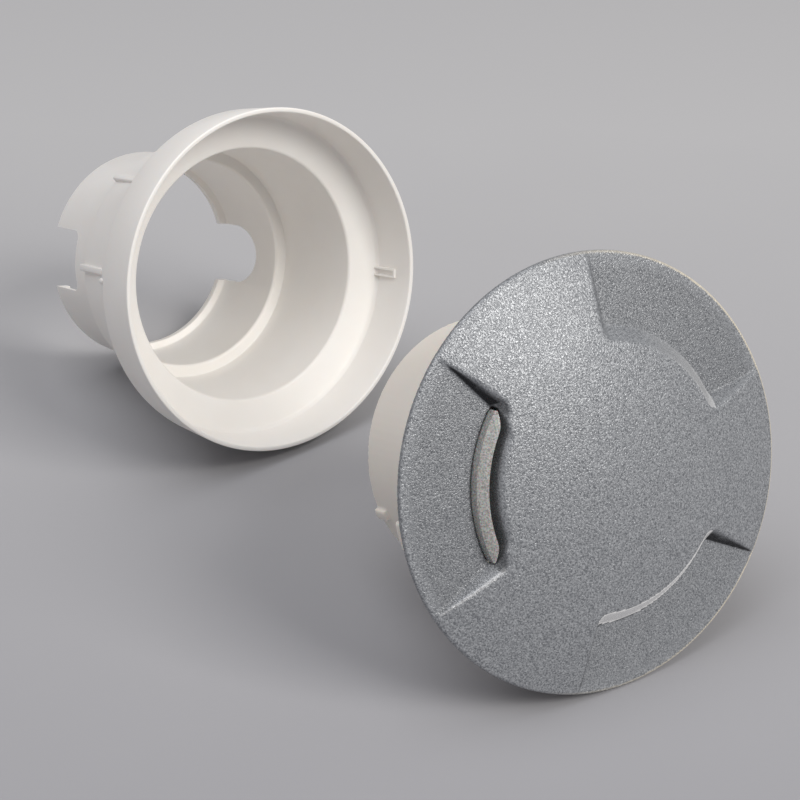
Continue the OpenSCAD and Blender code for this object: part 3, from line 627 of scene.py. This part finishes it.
def make_hollow():
    """The hollow under the dome. It leaves the recesses their walls and the lens its seat."""
    back = -PAST
    hollow = turned("hollow_tool", [(float(r), dome_height(r, SHELL_T))
                                    for r in range(0, int(CAVITY_R), 3)]
                    + [(CAVITY_R, dome_height(CAVITY_R, SHELL_T)), (CAVITY_R, back), (0.0, back)],
                    steps=120, to_axis=True)
    wall_in, wall_out = FOOT_R - SHELL_T, CAVITY_R + PAST
    wall_low, wall_h, wall_lean = FOOT_H - SHELL_T, 16, 12
    for turn in RECESS_TURNS:
        combine(hollow, turned("backing", [
            (wall_in, wall_low), (wall_out, wall_low), (wall_out, wall_low + wall_h),
            (wall_in - wall_lean, wall_low + wall_h)],
            steps=40, sweep=2 * RECESS_HALF_SPAN + 16, middle=turn))
    seat_in, seat_top = 32.0, 17.0
    combine(hollow, turned("window_block", [
        (seat_in, LENS_SEAT_H), (wall_out, LENS_SEAT_H), (wall_out, seat_top),
        (seat_in, seat_top)], steps=40, sweep=FLANGE_SPAN + 6.0, middle=WINDOW_TURN))
    return hollow


def crest_share(z, r):
    """How much a point of the cover is part of the crests, which the casting rounds off."""
    near_dome = z > 1.5 and drop_below_dome(z, r) < 1.0
    return ramp(r, 59.0, 58.0) if near_dome else 0.0


def make_cover():
    cover = turned("cover_casting", [(float(r), dome_height(r))
                                     for r in range(0, int(COVER_R), 2)]
                   + [(COVER_R, RIM_H, RIM_FRONT_ROUNDING), (COVER_R, 0.0, RIM_BACK_ROUNDING),
                      (0.0, 0.0)], steps=180, to_axis=True)
    ground = turned("below_floor", [
        (0.0, FOOT_H + FOOT_R * FLOOR_SLOPE),
        (FLOOR_REACH, FOOT_H - (FLOOR_REACH - FOOT_R) * FLOOR_SLOPE),
        (FLOOR_REACH, FLOOR_BOTTOM), (0.0, FLOOR_BOTTOM)], steps=180, to_axis=True)
    recess = lofted("recess_tool", [(FOOT_H + height, recess_outline(height, rounding))
                                    for height, rounding in RECESS_CORNERS])
    combine(recess, ground)
    combine(cover, make_hollow())
    for turn in RECESS_TURNS[1:]:
        combine(cover, copy_turned(recess, turn))
    fix(recess, RECESS_TURNS[0])
    combine(cover, recess)
    combine(cover, turned("groove_tool", [(GROOVE_IN, -PAST), (GROOVE_OUT, -PAST),
                                          (GROOVE_OUT, GROOVE_DEPTH), (GROOVE_IN, GROOVE_DEPTH)],
                          steps=160))
    seat_in, seat_out = FLANGE_IN - FLANGE_PLAY, FLANGE_OUT + FLANGE_PLAY
    combine(cover, turned("flange_seat_tool", [(seat_in, -PAST), (seat_out, -PAST),
                                               (seat_out, LENS_SEAT_H), (seat_in, LENS_SEAT_H)],
                          steps=48, sweep=FLANGE_SPAN + 1.0, middle=WINDOW_TURN))
    across, along = WINDOW_CUT
    window = lofted("window_tool", [
        (height, bent_plan(WINDOW_IN - roll, WINDOW_OUT, WINDOW_SPAN, across + roll, along))
        for height, roll in WINDOW_ROLL])
    fix(window, WINDOW_TURN)
    combine(cover, window)
    for turn in RECESS_TURNS:
        combine(cover, rod("screw_hole", SCREW_D / 2, -PAST, SCREW_DEPTH, SCREW_R,
                           turn + SCREW_OFFSET))
    modify(cover, "cast_skin", "REMESH", mode="VOXEL", voxel_size=CAST_VOXEL * MM)
    soften(cover, "crests", 9, crest_share)
    soften(cover, "whole", 1, lambda z, r: 1.0)
    modify(cover, "fewer_faces", "DECIMATE",
           ratio=CAST_TRIANGLES / (2 * len(cover.data.polygons)))
    grade(cover)
    return cover


# Zones of the cover's lacquer. A level is how far up a point lies from the recess floor, at 0, to
# the dome, at 1. Out and up are how far a face looks away from the axis and along it.
WALL_R, WALL_OUT = (28.0, 41.0), 0.45
SLOT_R, SLOT_OUT, SLOT_UP = (33.0, 41.5), 0.3, 0.8
SLOT_HALF_SPAN = WINDOW_SPAN / 2 + 3.0
ARM_R, ARM_UP = (38.5, 58.5), 0.93  # the left recess's lower side wall
ARM_TURNS = (192.0, 226.0)
ARM_CREST_LEVELS = (0.8, 0.97)
ARM_FOOT_LEVEL = 0.6
LOWER_FLOOR_TURNS = (250.0, 325.0)
RIM_R, RIM_BACK_H = 59.0, 0.5
# How deep the wrinkles are on the arm's crest, whose lighter tone paints a highlight along it, and
# how dark the painted shade is in the zones that it covers all over
CREST_HIGHLIGHT_RELIEF = 0.72
SLOT_PAINTED_SHADE, ARM_PAINTED_SHADE = 0.52, 0.35
FLOOR_PAINTED_SHADE, LOWER_FLOOR_PAINTED_SHADE = 0.19, 0.06
# Where a share starts at 0, and where it is 1
FLOOR_DROPS = (0.35, 1.15)
UPPER_WALL_TURNS = (-67.5, 62.5)
SHADE_UPS, SHADE_LEVELS = (0.05, -0.1), (0.85, 0.6)
SLOT_HEIGHTS = (8.9, 7.7)
RIM_HIGHLIGHT_RADII, RIM_HIGHLIGHT_HEIGHTS = (59.25, 59.37), (0.95, 1.05)
RIM_HIGHLIGHT_COSINES = (-0.3, 0.7)
RIM_HIGHLIGHT_TURN = -10.0  # where the painted highlight on the rim is brightest


def grade(cover):
    """Marks how coarse the lacquer's wrinkles are and how deep, which also sets where a lighter
    tone paints highlights, where shade is painted on, and where a highlight is painted on the
    rim's edge."""
    mesh = cover.data
    values = {name: [] for name in ("grain", "relief", "painted_rim_highlight", "painted_shade")}
    sky_up = LIGHT.to_3x3().inverted() @ Vector((0, 0, 1))
    for vertex in mesh.vertices:
        x, y, z = vertex.co / MM
        normal = vertex.normal
        r = math.hypot(x, y)
        turn = math.degrees(math.atan2(y, x)) % 360
        out = (normal.x * x + normal.y * y) / max(r, 1.0)
        drop = drop_below_dome(z, r)
        foot = FOOT_H + (FOOT_R - r) * FLOOR_SLOPE
        level = (z - foot) / max(0.3, z + drop - foot)

        at_window = abs((turn - WINDOW_TURN + 180) % 360 - 180) < SLOT_HALF_SPAN
        above_middle = turn < WINDOW_TURN
        in_slot = (at_window and within(r, SLOT_R) and normal.z < SLOT_UP
                   and (out > SLOT_OUT or above_middle))
        on_closed_wall = out > WALL_OUT and within(r, WALL_R) and not at_window
        on_arm = within(turn, ARM_TURNS) and within(r, ARM_R) and normal.z < ARM_UP

        # Flat wrinkles also lighten the tone: a painted highlight, full on the lower right closed
        # wall, partly on the upper right one and along the arm's crest
        relief = 1.0
        if on_closed_wall:
            relief = 0.0 if turn > 180.0 else ramp(turn, *UPPER_WALL_TURNS)
        elif on_arm and within(level, ARM_CREST_LEVELS):
            relief = CREST_HIGHLIGHT_RELIEF

        # Painted shade: near-black on faces that look down and low on the walls, in the window's
        # slot and at the foot of the left recess's lower arm, and light on the recess floors
        painted_shade = 0.0
        if r < RIM_R and z > RIM_BACK_H:
            painted_shade = ramp(normal.dot(sky_up), *SHADE_UPS) * ramp(level, *SHADE_LEVELS)
        if in_slot:
            slot_shade = SLOT_PAINTED_SHADE * ramp(z, *SLOT_HEIGHTS)
            painted_shade = max(painted_shade, slot_shade) if above_middle else slot_shade
        if on_arm and level < ARM_FOOT_LEVEL:
            painted_shade = ARM_PAINTED_SHADE
        floor_share = ramp(drop, *FLOOR_DROPS)
        floor_shade = LOWER_FLOOR_PAINTED_SHADE if within(turn, LOWER_FLOOR_TURNS) else FLOOR_PAINTED_SHADE
        painted_shade = max(painted_shade, floor_shade * floor_share)

        # Painted highlight on the rim's rounded front edge, brightest at one turn and gone on the
        # far side
        rounding = ramp(r, *RIM_HIGHLIGHT_RADII) * ramp(z, *RIM_HIGHLIGHT_HEIGHTS)
        lit_side = ramp(math.cos(math.radians(turn - RIM_HIGHLIGHT_TURN)), *RIM_HIGHLIGHT_COSINES)

        values["grain"].append(1.0 - floor_share)
        values["relief"].append(relief)
        values["painted_shade"].append(0.0 if on_closed_wall else painted_shade)
        values["painted_rim_highlight"].append(rounding * lit_side)
    for name, marks in values.items():
        mesh.attributes.new(name, "FLOAT", "POINT").data.foreach_set("value", marks)


settle(make_cover(), LIGHT, "light", ["cover"], lacquer, angle=60.0)


# ---- Lens: a curved frosted bar on a hidden flange

def make_lens():
    plan = bent_plan(LENS_IN, LENS_OUT, LENS_SPAN, *LENS_CUT)
    low, high = 1.0, 9.0
    bar = lofted("window_lens_frosted", [(low, plan), (high, plan)])
    slope = (LENS_TOP_H - LENS_RIDGE_H) / (LENS_OUT - LENS_IN)
    over, above = 2, 15.0
    combine(bar, turned("lens_top", [(LENS_IN - over, LENS_TOP_H + over * slope),
                                     (LENS_OUT + over, LENS_RIDGE_H - over * slope),
                                     (LENS_OUT + over, above), (LENS_IN - over, above)],
                        steps=60, sweep=90.0))
    modify(bar, "soft_edges", "BEVEL", width=0.25 * MM, segments=2, limit_method="ANGLE",
           angle_limit=math.radians(30))
    combine(bar, turned("lens_flange", [(FLANGE_IN, 0.0, FLANGE_EDGE),
                                        (FLANGE_OUT, 0.0, FLANGE_EDGE),
                                        (FLANGE_OUT, FLANGE_T, FLANGE_EDGE),
                                        (FLANGE_IN, FLANGE_T, FLANGE_EDGE)],
                        steps=48, sweep=FLANGE_SPAN, segments=2), "UNION")
    fix(bar, WINDOW_TURN)
    return bar


settle(make_lens(), LIGHT, "light", ["window_lens"], frosted, angle=40.0)


# ---- Sleeve: a stepped tube with a wide mouth band, ribs, catches and conduit notches

def add_ribs(sleeve):
    """Four plain ribs along the rear half of the first tube."""
    low, high = (39.6, -1.1, -52.6), (41.5, 1.1, -38.4)
    for turn in (NOTCH_TURN, NOTCH_TURN + 180, NOTCH_TURN - 45, NOTCH_TURN + 135):
        combine(sleeve, block("rib", low, high, edge=0.5, turn=turn), "UNION")


def add_catches(sleeve):
    """Two low catches inside the mouth band, each with a window that the latch arm snaps into."""
    edge = 0.12
    corners = [(51.5, -6.8, edge), (49.6, -17.3, edge), (52.4, -17.3), (52.9, -6.8)]
    window_low, window_high = (45.0, -0.85, -19.0), (60.0, 0.85, -7.5)
    for turn in (NOTCH_TURN, NOTCH_TURN + 180):
        catch = turned("latch_catch", corners, steps=6, sweep=3.3, segments=2)
        combine(catch, block("catch_window", window_low, window_high))
        fix(catch, turn)
        combine(sleeve, catch, "UNION")


def add_nub(sleeve):
    """The small moulding nub at the step between the halves of the first tube."""
    bpy.ops.object.select_all(action="DESELECT")
    bpy.ops.mesh.primitive_uv_sphere_add(segments=24, ring_count=12, radius=MM,
                                         location=(41.1 * MM, 0, -38.6 * MM),
                                         scale=(0.75, 1.0, 1.4))
    nub = bpy.context.object
    fix(nub)
    fix(nub, 168.6)
    combine(sleeve, nub, "UNION")


def cut_keyway(sleeve):
    """The slot inside the first tube that the light's key slides in."""
    low, high = (30.0, -1.75, -51.4), (39.6, 1.75, -17.4)
    combine(sleeve, block("keyway_tool", low, high, turn=172.5))


def cut_notches(sleeve):
    """A round conduit notch in one side of the rear rim, and a square one opposite."""
    half_width, rear = 10.0, -96.0

    def at_front(edge):
        """Whether an edge is one of the tool's two at its front that run towards the axis."""
        line = (edge.verts[0].co - edge.verts[1].co).normalized()
        return all(v.co.z > -90 * MM for v in edge.verts) and abs(line.x) > 0.9

    for turn, depth, corner in ((NOTCH_TURN, 19.2, 9.9), (NOTCH_TURN + 180, 16.4, 3.0)):
        combine(sleeve, block("notch_tool", (10.0, -half_width, rear),
                              (60.0, half_width, depth - SLEEVE_L), edge=corner,
                              wanted=at_front, segments=12, turn=turn))


def make_sleeve():
    sleeve = turned("sleeve_moulding", SLEEVE_OUTSIDE + SLEEVE_INSIDE, steps=192)
    add_ribs(sleeve)
    add_catches(sleeve)
    add_nub(sleeve)
    cut_keyway(sleeve)
    cut_notches(sleeve)
    return sleeve


settle(make_sleeve(), SLEEVE, "sleeve", ["installation_sleeve"], sleeve_plastic,
       angle=40.0)


# ---- Housing, cable gland and rim seal: the CAD pieces' forms with the soft edges of mouldings

def copy_of(node, name):
    """A merged copy of a CAD node's mesh."""
    piece = bpy.data.objects.new(name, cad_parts[node].data.copy())
    bpy.context.scene.collection.objects.link(piece)
    lone(piece)
    bpy.ops.object.mode_set(mode="EDIT")
    return close_up(piece)


def make_housing():
    voxel, most_triangles = 0.45, 170000
    housing = copy_of("housing", "housing_moulding")
    housing.data.transform(LIGHT.inverted())
    modify(housing, "moulded_skin", "REMESH", mode="VOXEL", voxel_size=voxel * MM)
    soften(housing, "edges", 2, lambda z, r: 1.0)
    modify(housing, "fewer_faces", "DECIMATE",
           ratio=min(1.0, most_triangles / (2 * len(housing.data.polygons))))
    return housing


def soft_edged(node, name, width):
    """A copy of a turned or moulded CAD node with its sharp edges rounded."""
    piece = copy_of(node, name)
    bpy.ops.object.mode_set(mode="EDIT")
    bpy.ops.mesh.select_all(action="SELECT")
    bpy.ops.mesh.dissolve_limited(angle_limit=math.radians(0.5))
    bpy.ops.object.mode_set(mode="OBJECT")
    modify(piece, "soft_edges", "BEVEL", width=width * MM, segments=3, limit_method="ANGLE",
           angle_limit=math.radians(35))
    return piece


settle(make_housing(), LIGHT, "light", ["housing"], housing_plastic,
       angle=50.0)
settle(soft_edged("gland_body", "gland_body_moulding", width=0.3), HERE, "light",
       ["gland_body"], black_nylon)
settle(soft_edged("gland_nut", "gland_nut_moulding", width=0.4), HERE, "gland_nut",
       ["gland_nut"], black_nylon)
settle(soft_edged("rim_seal", "rim_seal_ring", width=0.4), HERE, "light", ["rim_seal"],
       black_rubber)


# ---- Finishes of the CAD pieces that stay

FINISHES = {
    "gland_seal": black_rubber, "gland_washer": black_rubber, "gland_locknut": black_nylon,
    "cover_screws": stainless, "spreader_screws": stainless, "board_screws": stainless,
    "heat_spreader": milled_aluminium, "thermal_pad": pad_silicone, "led_board": led_mask,
    "leds": phosphor, "led_reflector": reflector_white, "led_wires": wire_red,
    "driver_board": driver_mask, "driver_transformer": tape_yellow,
    "driver_capacitors": shrink_sleeve, "terminal_block": terminal_green,
    "terminal_screws": plated_brass, "lens_gasket": white_silicone,
    "cover_gasket": cream_silicone,
}
for node, material in FINISHES.items():
    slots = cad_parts[node].data.materials
    slots.clear()
    slots.append(material)


# ---- Floor, light and camera, in metres

bpy.ops.object.select_all(action="DESELECT")
bpy.ops.mesh.primitive_plane_add(size=8.0)
floor = bpy.context.object
floor.name = "studio_floor"
floor.data.materials.append(floor_paper())


def lamp(name, place, target, size, watts, colour):
    """A soft square lamp that points at a target."""
    turn = (Vector(target) - Vector(place)).to_track_quat("-Z", "Y").to_euler()
    bpy.ops.object.light_add(type="AREA", location=place, rotation=turn)
    light = bpy.context.object
    light.name = name
    light.data.size = size
    light.data.energy = watts
    light.data.color = tone(colour)[:3]


lamp("key_softbox", (1.44, -1.08, 1.58), (0.0, 0.0, 0.05), size=1.1, watts=37.5, colour="FFFCF7")
lamp("overhead_softbox", (-0.45, -0.1, 1.75), (0.0, 0.0, 0.0), size=1.5, watts=16.0,
     colour="FDFDFF")

world = bpy.data.worlds.new("studio")
bpy.context.scene.world = world
world.use_nodes = True
world.node_tree.nodes.clear()
sky = add(world.node_tree, "ShaderNodeBackground", {"Color": tone("F5F3F4"), "Strength": 0.33})
add(world.node_tree, "ShaderNodeOutputWorld", {"Surface": sky.outputs[0]})

CAMERA_PLACE = (0.00552, -0.52119, 0.35209)
CAMERA_PITCH = 31.637  # degrees down from level
bpy.ops.object.camera_add(location=CAMERA_PLACE,
                          rotation=(math.radians(90 - CAMERA_PITCH), 0, 0))
camera = bpy.context.object
camera.data.lens = 89.47
camera.data.sensor_width = 36.0
camera.data.clip_start = 0.01
bpy.context.scene.camera = camera
bpy.context.scene.view_settings.view_transform = "Standard"
